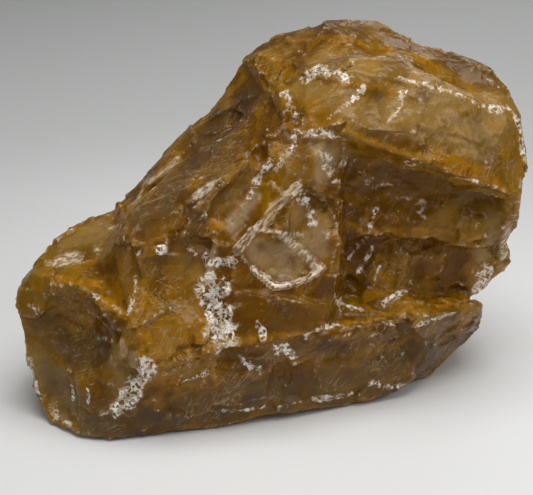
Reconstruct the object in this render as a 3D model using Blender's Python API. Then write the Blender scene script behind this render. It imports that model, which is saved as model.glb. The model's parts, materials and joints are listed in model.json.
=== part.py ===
"""A rough lump of honey calcite, as broken from the vein, lying on its broadest face.

The lump is one natural piece. It is built up the way it is layered: a sill along the
table, a slope and two stepped walls above it, an overhanging brow with the crown on top,
a low foot at the left end and the body behind them all. The slabs are joined in one
solid, its faces are bent a little, and hollows, steps and edge chips are broken out.
Lengths are millimetres until the last step. The front looks along -Y, +Z is up, and
z = 0 is the table.
"""

import math
import random
from collections import namedtuple

import bmesh
import bpy
from mathutils import Matrix, Vector, noise

STONE_NAME = "honey_calcite"
STONE_COLOUR = (0.42, 0.25, 0.09, 1.0)
MM = 0.001

# The bend of the faces: how fine the faces are split first, and its waves as (length, height)
LONGEST_EDGE = 9.5
SHORTEST_EDGE = 0.03
BEND_WAVES = ((27.0, 2.4), (12.0, 1.2))
WAVE_PLACES = ((3.1, 0.7, 5.2), (11.4, 8.3, 1.9), (7.6, 15.2, 9.7))
FLAT_FOOT_HEIGHT = 6.0

# What is broken out of the faces and edges
SHARD_SEED = 23
SHARD_ROUGHNESS = 0.13
CHIP_COUNT = 64
CHIP_CREASE = 0.55
CHIP_SPACING = 9.0

# The corners of each slab, in mm. The first group of each is what shows from the front,
# the second lies inside the lump or forms its back.
SILL = (
    # upper edge, left to right
    (-32, -37, 28.5), (-8, -32, 30), (4.5, -29, 28.5), (18.5, -25, 30), (35.5, -19, 29),
    (49, -13, 29), (64, -4, 27),
    # foot of the front, left to right, and the undercut right end
    (-44, -35, 0), (7.5, -22.5, 0), (28, -13.5, 0), (40.5, -7.5, 0), (50.5, 2.5, 0),
    (56, 4, 6), (67.5, 8, 15), (67.5, 6, 23),
    # inner edge of the shelf that slopes back to the deep wall
    (18, -8.5, 34.5), (41.5, -5, 33), (58, -1, 29.5), (66, 3, 25.5),
    # back
    (-42, 30, 0), (-40, 34, 22), (5, 50, 0), (45, 45, 0), (60, 24, 3),
)
SLOPE = (
    # lower edge along the sill, then the corner where the slope turns into the recess
    (-32, -36, 29.5), (-8, -31, 30.5), (18.5, -23, 32), (19, -18, 40), (21, -14, 54),
    (22.5, -11, 81.5), (9, -8.5, 83),
    # edge towards the west face, and down its skyline
    (4.5, -6, 86.5), (-7.5, -13.5, 75), (-24, -19.5, 66), (-38.5, -20, 58), (-37.5, -34, 38.5),
    (-6.5, 27, 92), (-16.5, 22, 80.5), (-29, 19, 69), (-42.5, 17, 54),
    # where the west face runs into the foot, and inside
    (-56, -10, 36), (-54, 12, 34), (26, 10, 78), (26, 10, 12), (-40, 32, 10), (5, 44, 40),
)
UPPER_WALL = (
    (22, -5.5, 80), (40, -5, 75), (57, -3, 66), (69, 1, 60),
    (20.5, -7.5, 53.5), (40.5, -6, 51.5), (61, -1, 48), (72.5, 6, 44), (74, 10, 49), (73, 4, 52),
    (20, 10, 84), (20, 10, 50), (71.5, 14, 64), (71, 16, 46), (40, 36, 76),
)
DEEP_WALL = (
    (20.5, -2.5, 51), (41.5, -1, 49), (62, 3.5, 46), (10, -8, 35.5), (42, -2.5, 31), (61, 2, 27.5),
    (71, 10, 33), (73, 9, 40), (70, 9, 30.5),
    (20, 10, 56), (20, 10, 20), (68, 22, 24), (69, 24, 46), (70, 14, 50), (40, 36, 30),
)
BROW = (
    # crest of the ledge, left to right, and its beak
    (9, -10, 83), (22, -13.5, 83), (38.5, -16, 80), (55, -15, 72), (66.5, -11, 65.5),
    (72, -8, 61), (74, -2, 64),
    # right skyline, then the crown's skyline from right to left
    (75.5, 8, 74.5), (74.5, 12, 80.5), (70, 18, 89.5), (64.5, 22, 93.5), (52, 26, 98),
    (40, 29, 102.5), (30.5, 30, 106), (17.5, 33, 104.5), (12, 33, 103), (3.5, 32, 100),
    (-2.5, 29, 96), (-6.5, 27, 92),
    # front edge of the crown, left to right
    (0.5, 2, 96), (14.5, -2, 100), (29.5, -5, 98), (43.5, -5, 97), (52.5, -3, 93.5), (67, 4, 87.5),
    # left end and inside
    (4.5, -6, 86.5), (73, 4, 52), (0, 30, 70), (56, 34, 78), (30, 20, 60), (68, 24, 60),
)
FOOT = (
    # left outline, tip to top, and down to the table
    (-72.5, -12, 34), (-69.5, -10, 39.5), (-65.5, -4, 43.5), (-63, 3, 45), (-59.5, 9, 45),
    (-53, 16, 48.5), (-46.5, 18, 50.5), (-69.5, -17, 19), (-67, -20.5, 6), (-63, -25.5, 0),
    (-53, -33.5, 0), (-44, -35, 0),
    # top edge of the broken left end
    (-65.5, -14, 43.5), (-51.5, -25, 44), (-37.5, -34, 38.5), (-32, -37, 28.5),
    # inside and back
    (-20, -27, 1), (-20, -24, 27), (-62, 18, 3), (-58, 24, 26), (-42, 30, 0), (-40, 33, 30),
    (-20, 10, 40), (-20, 20, 4),
)
BACK = (
    (-40, 31, 4), (-41, 31, 38), (-30, 30, 58), (-6, 38, 70), (4, 50, 6), (8, 49, 42),
    (20, 43, 80), (40, 47, 6), (50, 44, 46), (56, 36, 74), (62, 30, 12), (69, 26, 40),
    (72, 14, 56), (0, 0, 20), (40, 6, 20), (0, 6, 70), (50, 8, 60), (-30, 0, 30),
)

# Plates that the slope's breaks have left standing, each with its inner side last.
PLATE_LEFT = (
    (-37, -27, 60.5), (-27, -28, 58), (-16, -28.5, 53.5), (-14.5, -32, 43.5), (-16, -35, 32),
    (-30, -36, 29.5), (-34, -16, 54), (-18, -18, 48), (-20, -24, 34),
)
PLATE_LOW = (
    (-12.5, -33, 30), (4.5, -30.5, 30), (18, -27.5, 32), (18, -27, 40), (4.5, -29, 42.5),
    (-14, -30.5, 44.5), (-8, -20, 34), (14, -16, 36), (0, -18, 40),
)
PLATE_HIGH = (
    (-27, -26, 59), (-12, -18, 76), (-3, -15, 82), (1, -18, 75.5), (-8.5, -22.5, 69),
    (-17.5, -27.5, 56.5), (-18, -14, 62), (-4, -8, 72),
)

# A hollow left by a flake: a point on the face, the bearing that the face looks along
# (0 front, 90 right, 180 back), its rise to the sky, the hollow's width, height and depth
# in mm, and how far it is rolled in its own face.
Hollow = namedtuple("Hollow", "name point bearing rise width height depth roll")

HOLLOWS = (
    Hollow("end_hollow", (-54, -26, 30), -35, 8, 27, 25, 6, 20),
    Hollow("end_lower", (-58, -27, 12), -38, -6, 16, 16, 2, 0),
    Hollow("corner_flute", (-38, -36, 15), -16, 0, 9, 26, 2, 8),
    Hollow("chip_low", (2.5, -23, 51.5), 8, 14, 17, 16, 3.2, 30),
    Hollow("chip_high", (11.5, -19, 60.5), 18, 16, 17, 21, 3.6, -18),
    Hollow("clear_pane", (17.5, -13, 75), 34, 10, 13, 17, 2.2, 10),
    Hollow("olive_lens", (-5, -17, 68.5), -4, 32, 12, 26, 2.4, -32),
    Hollow("slope_saddle", (-22, -29, 47), 2, 28, 22, 24, 2.2, 0),
    Hollow("slope_step", (-14, -24, 60), -6, 30, 16, 10, 1.8, 24),
    Hollow("sill_scar", (38, -14, 17), 24, -16, 20, 16, 3.4, 0),
    Hollow("sill_dip", (9, -25, 15), 16, -14, 19, 20, 2.6, 12),
    Hollow("sill_ledge", (22, -22, 22), 20, -10, 18, 9, 2.0, 14),
    Hollow("sill_left", (-20, -33, 13), 12, -8, 24, 17, 2.4, -8),
    Hollow("sill_brow", (-8, -31, 25), 8, 6, 22, 8, 1.6, 6),
    Hollow("sill_end", (54, -7, 16), 40, -22, 17, 16, 2.8, 0),
    Hollow("brow_left", (12, -9, 91), -14, 30, 17, 15, 2.2, 20),
    Hollow("brow_mid", (27, -10, 90), 6, 34, 13, 16, 1.8, -10),
    Hollow("under_beak", (62, -8, 62), 24, -22, 22, 9, 2.6, -18),
    Hollow("wall_pan", (38, -5.5, 65), 6, 2, 26, 17, 1.8, -8),
    Hollow("wall_nook", (58, -2.5, 58), 22, 2, 16, 12, 1.6, 8),
    Hollow("flute_a", (27, -3.5, 42), 2, 10, 9, 16, 1.8, 0),
    Hollow("flute_b", (36, -3, 42), 4, 10, 10, 16, 1.5, 4),
    Hollow("flute_c", (46, -1, 41), 10, 10, 10, 15, 2.0, -4),
    Hollow("flute_d", (57, 2, 38), 16, 10, 9, 15, 1.6, 6),
    Hollow("shelf_nick", (37, -10, 32.5), 10, 50, 12, 7, 1.6, 20),
    Hollow("right_wedge", (73, 7, 45), 72, -4, 15, 13, 2.6, 0),
    Hollow("right_low", (69, 10, 28), 74, -6, 14, 12, 2.0, 0),
    Hollow("right_mid", (75, 12, 62), 88, -4, 22, 17, 2.6, 10),
    Hollow("knob_dish", (-57, -6, 45.5), -20, 76, 16, 13, 1.6, 0),
    Hollow("west_trough", (-22, 8, 73), -62, 54, 13, 44, 2.2, -24),
    Hollow("west_notch", (-36, 4, 60), -62, 50, 11, 20, 2.0, -20),
    Hollow("west_high", (-6, 8, 90), -54, 56, 14, 22, 1.8, -18),
    Hollow("crown_dish", (26, 14, 104), 14, 66, 34, 20, 1.8, 8),
    Hollow("crown_right", (56, 14, 95), 36, 58, 24, 16, 1.6, -12),
    Hollow("back_bite", (-4, 44, 62), 196, 20, 34, 26, 4.5, 10),
    Hollow("back_shell", (30, 48, 30), 178, 4, 36, 28, 4.0, -14),
    Hollow("back_low", (-16, 44, 12), 206, -4, 28, 20, 3.0, 0),
    Hollow("back_right", (62, 36, 50), 138, 10, 24, 32, 3.6, 6),
    Hollow("back_crown", (40, 36, 90), 160, 46, 34, 22, 3.0, 0),
    Hollow("back_left", (-44, 30, 34), 220, 18, 24, 26, 3.4, -8),
    Hollow("back_step", (8, 50, 42), 190, 34, 30, 10, 2.4, 4),
)


def outward(bearing, rise):
    """Unit vector that a face with this bearing and rise, in degrees, looks along."""
    b, r = math.radians(bearing), math.radians(rise)
    return Vector((math.cos(r) * math.sin(b), -math.cos(r) * math.cos(b), math.sin(r)))


def linked(name, bm):
    """A new object in the scene that holds the bmesh, which is freed."""
    mesh = bpy.data.meshes.new(name)
    bm.to_mesh(mesh)
    bm.free()
    made = bpy.data.objects.new(name, mesh)
    bpy.context.scene.collection.objects.link(made)
    return made


def spanned(name, corners):
    """The flat-faced solid that these corners span."""
    bm = bmesh.new()
    for corner in corners:
        bm.verts.new(corner)
    bmesh.ops.convex_hull(bm, input=bm.verts[:])
    inner = [v for v in bm.verts if not v.link_faces]
    bmesh.ops.delete(bm, geom=inner, context="VERTS")
    bmesh.ops.recalc_face_normals(bm, faces=bm.faces[:])
    return linked(name, bm)


def combine(stone, other, operation):
    """Applies a Boolean of the other object to the stone and removes the other object."""
    modifier = stone.modifiers.new(operation.lower(), "BOOLEAN")
    modifier.operation = operation
    modifier.solver = "EXACT"
    modifier.object = other
    graph = bpy.context.evaluated_depsgraph_get()
    mesh = bpy.data.meshes.new_from_object(stone.evaluated_get(graph))
    stone.modifiers.clear()
    stone.data = mesh
    bpy.data.objects.remove(other)


def even_edges(bm, longest):
    """Halves the longest edges first, then shorter ones, until none is longer than this."""
    reach = max(e.calc_length() for e in bm.edges)
    while reach > longest:
        reach = max(longest, reach * 0.7)
        too_long = [e for e in bm.edges if e.calc_length() > reach]
        bmesh.ops.subdivide_edges(bm, edges=too_long, cuts=1)
        bmesh.ops.triangulate(bm, faces=[f for f in bm.faces if len(f.verts) > 3])


def swell(point):
    """A smooth wave of at most about one unit, the same at every run."""
    return Vector(noise.noise(point + Vector(place)) for place in WAVE_PLACES)


def bend_faces(stone):
    """Gives the slabs' flat faces the slow swell of a natural break; the base stays flat."""
    bm = bmesh.new()
    bm.from_mesh(stone.data)
    bmesh.ops.triangulate(bm, faces=bm.faces[:])
    bmesh.ops.remove_doubles(bm, verts=bm.verts[:], dist=SHORTEST_EDGE)
    even_edges(bm, LONGEST_EDGE)
    bmesh.ops.recalc_face_normals(bm, faces=bm.faces[:])
    for vert in bm.verts:
        start = vert.co.copy()
        ease = min(1.0, max(0.0, start.z / FLAT_FOOT_HEIGHT))
        for wave, height in BEND_WAVES:
            vert.co += swell(start / wave) * height * ease
    bm.to_mesh(stone.data)
    bm.free()


def shard(name, point, normal, size, roll, rng, detail):
    """The angular piece lost from a face: size[2] deep, over about size[0] by size[1]."""
    ball, bite = 1.25, 0.5
    bm = bmesh.new()
    bmesh.ops.create_icosphere(bm, subdivisions=detail, radius=ball)
    grow = Matrix.Diagonal((size[0] / 2, size[1] / 2, size[2] / bite, 1))
    turn = normal.to_track_quat("Z", "Y").to_matrix().to_4x4()
    place = (
        Matrix.Translation(point)
        @ turn
        @ Matrix.Rotation(math.radians(roll), 4, "Z")
        @ grow
        @ Matrix.Translation((0, 0, ball - bite))
    )
    uneven = [v.co * (1 + rng.uniform(-SHARD_ROUGHNESS, SHARD_ROUGHNESS)) for v in bm.verts]
    bm.free()
    return spanned(name, [place @ corner for corner in uneven])


def chip_places(stone, rng):
    """Points on the lump's sharp outer edges, well apart, with the way that each one faces."""
    bm = bmesh.new()
    bm.from_mesh(stone.data)
    sharp = [e for e in bm.edges if e.calc_face_angle_signed() > CHIP_CREASE]
    rng.shuffle(sharp)
    places = []
    for edge in sharp:
        middle = (edge.verts[0].co + edge.verts[1].co) / 2
        normal = (edge.link_faces[0].normal + edge.link_faces[1].normal).normalized()
        if all((middle - other).length > CHIP_SPACING for other, _ in places):
            places.append((middle, normal))
    bm.free()
    return places[:CHIP_COUNT]


def break_hollows(stone, rng):
    """Breaks the named hollows out of the faces."""
    for hollow in HOLLOWS:
        size = (hollow.width, hollow.height, hollow.depth)
        normal = outward(hollow.bearing, hollow.rise)
        detail = 3 if hollow.width > 20 else 2
        cutter = shard(hollow.name, hollow.point, normal, size, hollow.roll, rng, detail)
        combine(stone, cutter, "DIFFERENCE")


def chip_edges(stone, rng):
    """Knocks small flakes off the sharp outer edges."""
    for number, (point, normal) in enumerate(chip_places(stone, rng)):
        size = (rng.uniform(5, 13), rng.uniform(4, 9), rng.uniform(0.7, 1.8))
        cutter = shard(f"chip_{number}", point, normal, size, rng.uniform(0, 180), rng, 1)
        combine(stone, cutter, "DIFFERENCE")


def centre_on_table(stone):
    """Puts the middle of the lump's box over the origin, with its base on z = 0."""
    sides = list(zip(*(v.co for v in stone.data.vertices)))
    shift = Vector((-(min(s) + max(s)) / 2 for s in sides))
    shift.z = -min(sides[2])
    stone.data.transform(Matrix.Translation(shift))


def stone_material():
    """Warm honey brown, glossy where it is freshly broken."""
    material = bpy.data.materials.new("honey_stone")
    material.use_nodes = True
    shader = material.node_tree.nodes["Principled BSDF"]
    shader.inputs["Base Color"].default_value = STONE_COLOUR
    shader.inputs["Roughness"].default_value = 0.35
    shader.inputs["Metallic"].default_value = 0.0
    return material


def keep_in_own_collection(stone):
    """Moves the lump to a collection that has its name."""
    collection = bpy.data.collections.new(STONE_NAME)
    bpy.context.scene.collection.children.link(collection)
    bpy.context.scene.collection.objects.unlink(stone)
    collection.objects.link(stone)


def main():
    """Builds the lump in mm, then brings it to metres."""
    for old in list(bpy.data.objects):
        bpy.data.objects.remove(old)
    stone = spanned(STONE_NAME, SLOPE)
    for name, corners in (
        ("back", BACK), ("sill", SILL), ("foot", FOOT),
        ("plate_left", PLATE_LEFT), ("plate_low", PLATE_LOW), ("plate_high", PLATE_HIGH),
        ("deep_wall", DEEP_WALL), ("upper_wall", UPPER_WALL), ("brow", BROW),
    ):
        combine(stone, spanned(name, corners), "UNION")
    rng = random.Random(SHARD_SEED)
    break_hollows(stone, rng)
    chip_edges(stone, rng)
    bend_faces(stone)
    centre_on_table(stone)
    stone.data.transform(Matrix.Scale(MM, 4))
    stone.data.materials.append(stone_material())
    keep_in_own_collection(stone)


main()
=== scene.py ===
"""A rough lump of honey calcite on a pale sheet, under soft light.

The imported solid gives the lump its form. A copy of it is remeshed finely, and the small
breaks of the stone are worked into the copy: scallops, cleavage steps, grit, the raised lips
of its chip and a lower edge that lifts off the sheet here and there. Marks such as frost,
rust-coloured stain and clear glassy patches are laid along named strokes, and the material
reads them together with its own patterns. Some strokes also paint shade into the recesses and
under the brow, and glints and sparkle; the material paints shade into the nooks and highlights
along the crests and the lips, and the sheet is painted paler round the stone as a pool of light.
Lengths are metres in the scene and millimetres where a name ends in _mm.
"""

import json
import logging
import math
from dataclasses import dataclass, field
from enum import Enum
from typing import Any, Sequence, Union

import bpy
import numpy as np
from mathutils import Euler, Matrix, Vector
from mathutils.bvhtree import BVHTree
from mathutils.kdtree import KDTree

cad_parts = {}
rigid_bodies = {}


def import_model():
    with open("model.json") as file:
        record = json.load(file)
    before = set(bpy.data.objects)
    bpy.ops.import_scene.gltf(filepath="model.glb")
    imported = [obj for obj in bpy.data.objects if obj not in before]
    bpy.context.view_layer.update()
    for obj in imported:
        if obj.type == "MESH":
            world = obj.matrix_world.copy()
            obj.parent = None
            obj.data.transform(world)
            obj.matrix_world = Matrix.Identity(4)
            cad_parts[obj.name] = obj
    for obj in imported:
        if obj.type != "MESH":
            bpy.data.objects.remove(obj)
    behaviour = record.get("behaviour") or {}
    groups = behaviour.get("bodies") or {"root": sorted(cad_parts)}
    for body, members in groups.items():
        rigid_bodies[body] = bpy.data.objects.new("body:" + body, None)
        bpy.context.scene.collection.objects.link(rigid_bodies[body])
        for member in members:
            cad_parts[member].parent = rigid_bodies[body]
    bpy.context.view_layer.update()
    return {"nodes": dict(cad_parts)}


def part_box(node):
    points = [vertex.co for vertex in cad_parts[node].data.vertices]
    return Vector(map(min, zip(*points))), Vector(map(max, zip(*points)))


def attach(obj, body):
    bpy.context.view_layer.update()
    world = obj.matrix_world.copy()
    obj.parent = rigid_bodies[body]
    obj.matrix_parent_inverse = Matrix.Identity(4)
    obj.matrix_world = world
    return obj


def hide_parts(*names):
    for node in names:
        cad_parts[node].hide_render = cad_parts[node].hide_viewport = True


LOG = logging.getLogger("honey_calcite")
MM = 0.001
STONE_NODE = "honey_calcite"
TONE = "tone"
CLOUD = "cloud"
BROAD = "broad"
# How the skin bends: the material paints a highlight along the crests, partly chipped white, and paints
# shade into the nooks.
CREST = "crest"
NOOK_SHADE = "nook_shade"

Pixel = tuple[float, float]
Triple = tuple[float, float, float]


class Mark(Enum):
    """What a stroke leaves on the stone; each is an attribute that the material reads."""

    FROST_AND_GLINT = "frost_and_glint"
    RIM = "rim"
    LIP = "lip"
    STAIN = "stain"
    GOLD = "gold"
    MAUVE = "mauve"
    CLEAR = "clear"
    DARK = "dark"
    PALE = "pale"


@dataclass(frozen=True)
class Stroke:
    """A mark or a ridge that follows the stone's face from point to point.

    Args:
        name: What it is on the stone.
        path: Points in the photograph's frame, from one end to the other.
        width_mm: How far from its line it reaches.
        strength: The most that it adds to its mark.
        lift_mm: How far it raises the face along its line, or sinks it when negative.
        rough: How ragged its edges are, from 0 to 1.
    """

    name: str
    path: Sequence[Pixel]
    width_mm: float
    strength: float = 1.0
    lift_mm: float = 0.0
    rough: float = 0.6


STROKES: dict[Mark, tuple[Stroke, ...]] = {
    # Most of these are the stone's white bruised places; brow_glint, end_glint, sill_far, slope_spark
    # and chip_sparkle are painted glints and sparkle, and far_corner is partly a painted glint.
    Mark.FROST_AND_GLINT: (
        Stroke("speck_line", ((305, 78), (319, 68), (332, 74), (350, 78)), 2.0, 0.8),
        Stroke("speck_line_far", ((400, 78), (440, 88), (470, 98), (489, 108)), 1.3, 0.7),
        Stroke("edge_frost", ((489, 108), (507, 108), (519, 126), (524, 160)), 1.8, 0.8),
        Stroke("edge_frost_low", ((524, 160), (523, 185)), 1.4, 0.6),
        Stroke("brow_squiggle", ((388, 123), (396, 112), (402, 104), (403, 92)), 1.1, 0.9, 0.1),
        Stroke("brow_streak", ((331, 117), (346, 106), (356, 97), (363, 88)), 1.1, 0.8, 0.1),
        Stroke("brow_left", ((283, 92), (290, 108), (300, 120)), 2.2, 0.6),
        Stroke("nose_net", ((296, 132), (292, 146), (283, 158), (275, 170)), 1.6, 0.7),
        Stroke("lens_edge", ((272, 160), (262, 172), (254, 188), (250, 196)), 1.4, 1.0, 0.2),
        Stroke("pane_top", ((304, 136), (322, 132), (342, 138)), 1.6, 0.8, 0.1),
        Stroke("pane_web", ((322, 150), (330, 168), (336, 178)), 2.4, 0.6),
        Stroke("chip_sparkle", ((300, 196), (308, 208), (312, 222)), 2.6, 0.6, 0.2),
        Stroke("slope_core", ((214, 306), (216, 318), (220, 324)), 3.0, 1.5, 0.2, 0.8),
        Stroke("slope_cluster", ((212, 284), (212, 300), (216, 318), (222, 337)), 4.6, 0.8, 0.1, 1.0),
        Stroke("slope_top", ((206, 256), (212, 262), (232, 262)), 2.0, 0.9, 0.1),
        Stroke("slope_spark", ((159, 250), (164, 250)), 1.4, 1.2, 0.1),
        Stroke("slope_side", ((259, 322), (263, 332), (262, 338)), 1.6, 0.8),
        Stroke("slope_hair", ((136, 276), (134, 300), (128, 314)), 0.9, 0.8, 0.15),
        Stroke("corner_frost", ((146, 366), (138, 384), (126, 402), (118, 410)), 3.4, 1.1, 0.1),
        Stroke("end_wedge", ((74, 386), (73, 398)), 1.1, 1.2, 0.1),
        Stroke("end_wedge_right", ((88, 390), (90, 404)), 1.1, 1.2, 0.1),
        Stroke("end_foot", ((50, 404), (54, 418), (70, 430)), 1.8, 0.7),
        Stroke("end_edge", ((31, 360), (35, 378), (38, 392)), 1.4, 0.9),
        Stroke("end_glint", ((30, 304), (36, 308)), 1.2, 0.9),
        Stroke("sill_curl", ((182, 370), (178, 384), (190, 380), (206, 372)), 1.1, 0.8),
        Stroke("sill_high", ((240, 356), (250, 366), (262, 372)), 1.6, 0.6),
        Stroke("sill_chip", ((276, 346), (286, 350), (296, 362)), 2.0, 0.9, 0.1),
        Stroke("sill_foot", ((225, 414), (270, 410), (320, 402), (350, 396)), 1.6, 0.6),
        Stroke("sill_right", ((372, 382), (392, 386), (412, 380)), 2.2, 0.7),
        Stroke("sill_far", ((416, 324), (436, 319), (454, 315)), 1.2, 1.0, 0.1),
        Stroke("sill_near", ((308, 337), (318, 330), (330, 325), (344, 326)), 1.6, 0.8),
        Stroke("far_corner", ((486, 270), (486, 280), (474, 296)), 3.2, 1.0, 0.1),
        Stroke("wall_hair", ((346, 262), (356, 250), (366, 238)), 0.7, 0.9),
        Stroke("wall_flash", ((373, 247), (366, 260), (360, 272)), 0.9, 0.8),
        Stroke("wall_hair_low", ((380, 268), (373, 284)), 0.8, 0.9),
        Stroke("wall_knot", ((376, 210), (372, 222), (368, 232)), 0.9, 0.8),
        Stroke("wall_top_spot", ((408, 162), (412, 166)), 1.3, 0.9),
        Stroke("wall_top_veil", ((348, 160), (360, 158), (372, 186), (392, 190)), 2.6, 0.2),
        Stroke("wall_mid_veil", ((400, 196), (420, 204), (424, 214)), 2.6, 0.2),
        Stroke("shelf_facet", ((383, 304), (394, 298), (404, 292)), 1.6, 1.5, 0.3),
        Stroke("shelf_left", ((336, 296), (342, 306), (360, 310)), 1.8, 0.7),
        Stroke("brow_glint", ((457, 179), (474, 181), (496, 187)), 0.7, 0.9, 0.1),
    ),
    Mark.RIM: (
        Stroke("chip_edge_foot", ((238, 250), (246, 262), (254, 270)), 0.8, 0.6, 0.4, 0.3),
        Stroke(
            "chip_rim_right",
            ((304, 190), (324, 200), (336, 219), (337, 242), (331, 268), (321, 268)),
            0.7, 0.6, 0.3, 0.7,
        ),
        Stroke("chip_ridge", ((255, 230), (273, 231), (302, 235)), 0.8, 0.9, 0.35, 0.2),
        Stroke("chip_band", ((283, 236), (298, 247), (308, 258), (319, 268)), 2.2, 0.7, 0.1, 0.4),
        Stroke("pane_side", ((345, 144), (342, 160), (337, 174)), 0.6, 0.7, 0.3, 0.4),
        Stroke("pane_left", ((312, 136), (306, 156), (302, 176), (298, 187)), 0.5, 0.5, 0.4, 0.5),
        Stroke("oval_patch", ((55, 265), (63, 260), (71, 256)), 4.4, 0.8, 0.1, 0.3),
        Stroke("skyline_patch", ((147, 182), (160, 173), (177, 160)), 2.2, 0.62, 0.0, 0.7),
        Stroke("skyline_low", ((127, 207), (136, 199), (142, 188)), 1.8, 0.6, 0.0, 0.7),
        Stroke("skyline_high", ((192, 130), (207, 119)), 1.0, 0.5, 0.0, 0.8),
        Stroke("west_patch", ((196, 197), (208, 188), (217, 184)), 1.5, 0.7, 0.0, 0.7),
        Stroke("knob_patch", ((112, 228), (120, 226), (127, 222)), 1.3, 0.8, 0.1, 0.7),
        Stroke("knob_spot", ((94, 249), (101, 248)), 1.0, 0.8, 0.0, 0.6),
        Stroke("far_wedge", ((508, 222), (507, 240), (503, 256)), 2.4, 0.85, 0.0, 0.5),
        Stroke("foot_crystal", ((121, 342), (124, 352), (120, 358)), 1.5, 0.45, 0.2, 0.4),
        Stroke("sill_line", ((172, 351), (196, 349), (214, 345)), 0.45, 0.8, 0.1, 0.7),
    ),
    Mark.LIP: (
        Stroke(
            "chip_rim_left",
            ((238, 250), (253, 230), (267, 221), (274, 207), (297, 187)),
            1.5, 0.9, 0.35, 0.4,
        ),
        Stroke(
            "chip_rim_foot",
            ((254, 270), (275, 287), (293, 284), (309, 279), (321, 268)),
            1.2, 1.2, 0.5, 0.4,
        ),
    ),
    Mark.CLEAR: (
        Stroke("chip_glass", ((258, 250), (272, 262), (290, 268), (280, 248)), 4.6, 0.8, -0.7, 0.3),
        Stroke("chip_glass_far", ((306, 240), (322, 250), (318, 232)), 3.2, 0.8, -0.5, 0.3),
        Stroke("pane", ((318, 146), (326, 158), (322, 176)), 3.6, 1.0, -0.2, 0.4),
        Stroke("lens", ((230, 226), (242, 212), (254, 197)), 2.8, 1.0, 0.2, 0.3),
        Stroke("slope_crystal", ((214, 244), (212, 258), (210, 270)), 1.5, 1.0, 0.2, 0.3),
        Stroke("foot_glass", ((134, 356), (132, 366)), 2.0, 0.9, 0.1, 0.4),
    ),
    Mark.STAIN: (
        Stroke(
            "sill_edge",
            ((140, 352), (162, 355), (190, 350), (217, 344), (250, 340)),
            1.7, 1.0, 0.1, 0.8,
        ),
        Stroke(
            "sill_edge_far",
            ((250, 340), (306, 335), (350, 322), (410, 312), (470, 300)),
            1.7, 0.8, 0.1, 0.9,
        ),
        Stroke("sill_corner", ((127, 312), (144, 338), (160, 355)), 2.6, 0.8, 0.0, 0.8),
        Stroke("slope_foot", ((160, 340), (190, 334), (214, 330)), 4.0, 0.7, 0.0, 0.8),
        Stroke("slope_left", ((136, 300), (148, 322), (176, 336)), 3.6, 0.6, 0.0, 0.8),
        Stroke("brow_edge", ((358, 138), (393, 150), (433, 160), (458, 176)), 1.5, 0.9, 0.2, 0.8),
        Stroke("brow_edge_far", ((440, 156), (470, 168), (500, 186), (515, 204)), 2.4, 0.7, 0.2, 0.8),
        Stroke("brow_edge_near", ((330, 118), (346, 126), (360, 138)), 1.3, 0.8, 0.0, 0.8),
        Stroke("brow_spot", ((312, 104), (320, 108)), 2.2, 1.0, 0.0, 0.8),
        Stroke("orange_spot", ((214, 223), (221, 226)), 1.8, 1.5, 0.1, 0.6),
        Stroke("knob_rust", ((46, 276), (70, 279), (96, 283), (120, 292)), 2.8, 0.7, 0.0, 0.8),
        Stroke("knob_rust_low", ((104, 300), (118, 308), (128, 314)), 2.6, 0.7, 0.0, 0.8),
        Stroke(
            "wall_foot",
            ((341, 222), (366, 232), (404, 231), (441, 231), (476, 238)),
            1.5, 0.7, 0.0, 0.7,
        ),
        Stroke("shelf_rust", ((400, 304), (430, 306), (464, 296)), 2.8, 0.6, 0.0, 0.8),
        Stroke("sill_rust", ((160, 372), (180, 388), (214, 384)), 3.4, 0.5, 0.0, 0.9),
        Stroke("west_thread", ((238, 156), (232, 172), (230, 180)), 0.9, 0.9, 0.0, 0.8),
        Stroke("crown_vein", ((290, 40), (330, 40), (380, 46), (440, 66)), 1.5, 0.5, 0.0, 0.9),
        Stroke("crown_vein_low", ((268, 60), (300, 76), (350, 84), (400, 92)), 1.4, 0.5, 0.0, 0.9),
    ),
    Mark.GOLD: (
        Stroke("gold_glass", ((288, 166), (272, 182), (262, 204)), 4.6, 1.0, 0.0, 0.5),
        Stroke("brow_gold", ((272, 84), (290, 100), (320, 100)), 4.6, 0.7, 0.0, 0.8),
        Stroke("sill_gold", ((196, 397), (230, 394), (268, 387)), 2.2, 0.8, 0.0, 0.7),
        Stroke("slope_gold", ((182, 262), (192, 274), (196, 284)), 4.4, 0.5, 0.0, 0.7),
        Stroke("slope_gold_left", ((140, 290), (160, 320), (176, 330)), 4.6, 0.6, 0.0, 0.7),
        Stroke("wall_gold", ((446, 212), (462, 224), (474, 234)), 4.0, 0.6, 0.0, 0.6),
        Stroke("column_gold", ((390, 242), (390, 284)), 2.2, 0.5, 0.0, 0.3),
        Stroke("column_gold_far", ((432, 240), (430, 286)), 2.4, 0.5, 0.0, 0.3),
        Stroke("band_gold", ((300, 300), (330, 306), (350, 300)), 3.4, 0.5, 0.0, 0.8),
    ),
    Mark.PALE: (
        Stroke("crown_pale", ((330, 60), (390, 66), (450, 84), (500, 120)), 11.0, 0.45, 0.0, 0.7),
        Stroke("brow_pale", ((380, 120), (430, 118), (480, 140)), 8.0, 0.8, 0.0, 0.7),
        Stroke("brow_front", ((300, 84), (330, 90), (350, 120)), 6.0, 0.5, 0.0, 0.8),
        Stroke("knob_pale", ((78, 240), (96, 232), (112, 244)), 7.0, 0.9, 0.0, 0.7),
        Stroke("chip_pale", ((262, 250), (290, 262), (300, 215), (318, 225)), 5.0, 0.8, 0.0, 0.5),
        Stroke("west_tan", ((250, 170), (236, 190), (228, 206)), 3.4, 0.4, 0.0, 0.6),
        Stroke("end_pale", ((48, 372), (66, 396), (92, 424)), 7.0, 0.8, 0.0, 0.8),
        Stroke("far_facet", ((492, 216), (490, 236), (484, 256)), 3.4, 1.0, 0.0, 0.4),
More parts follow.
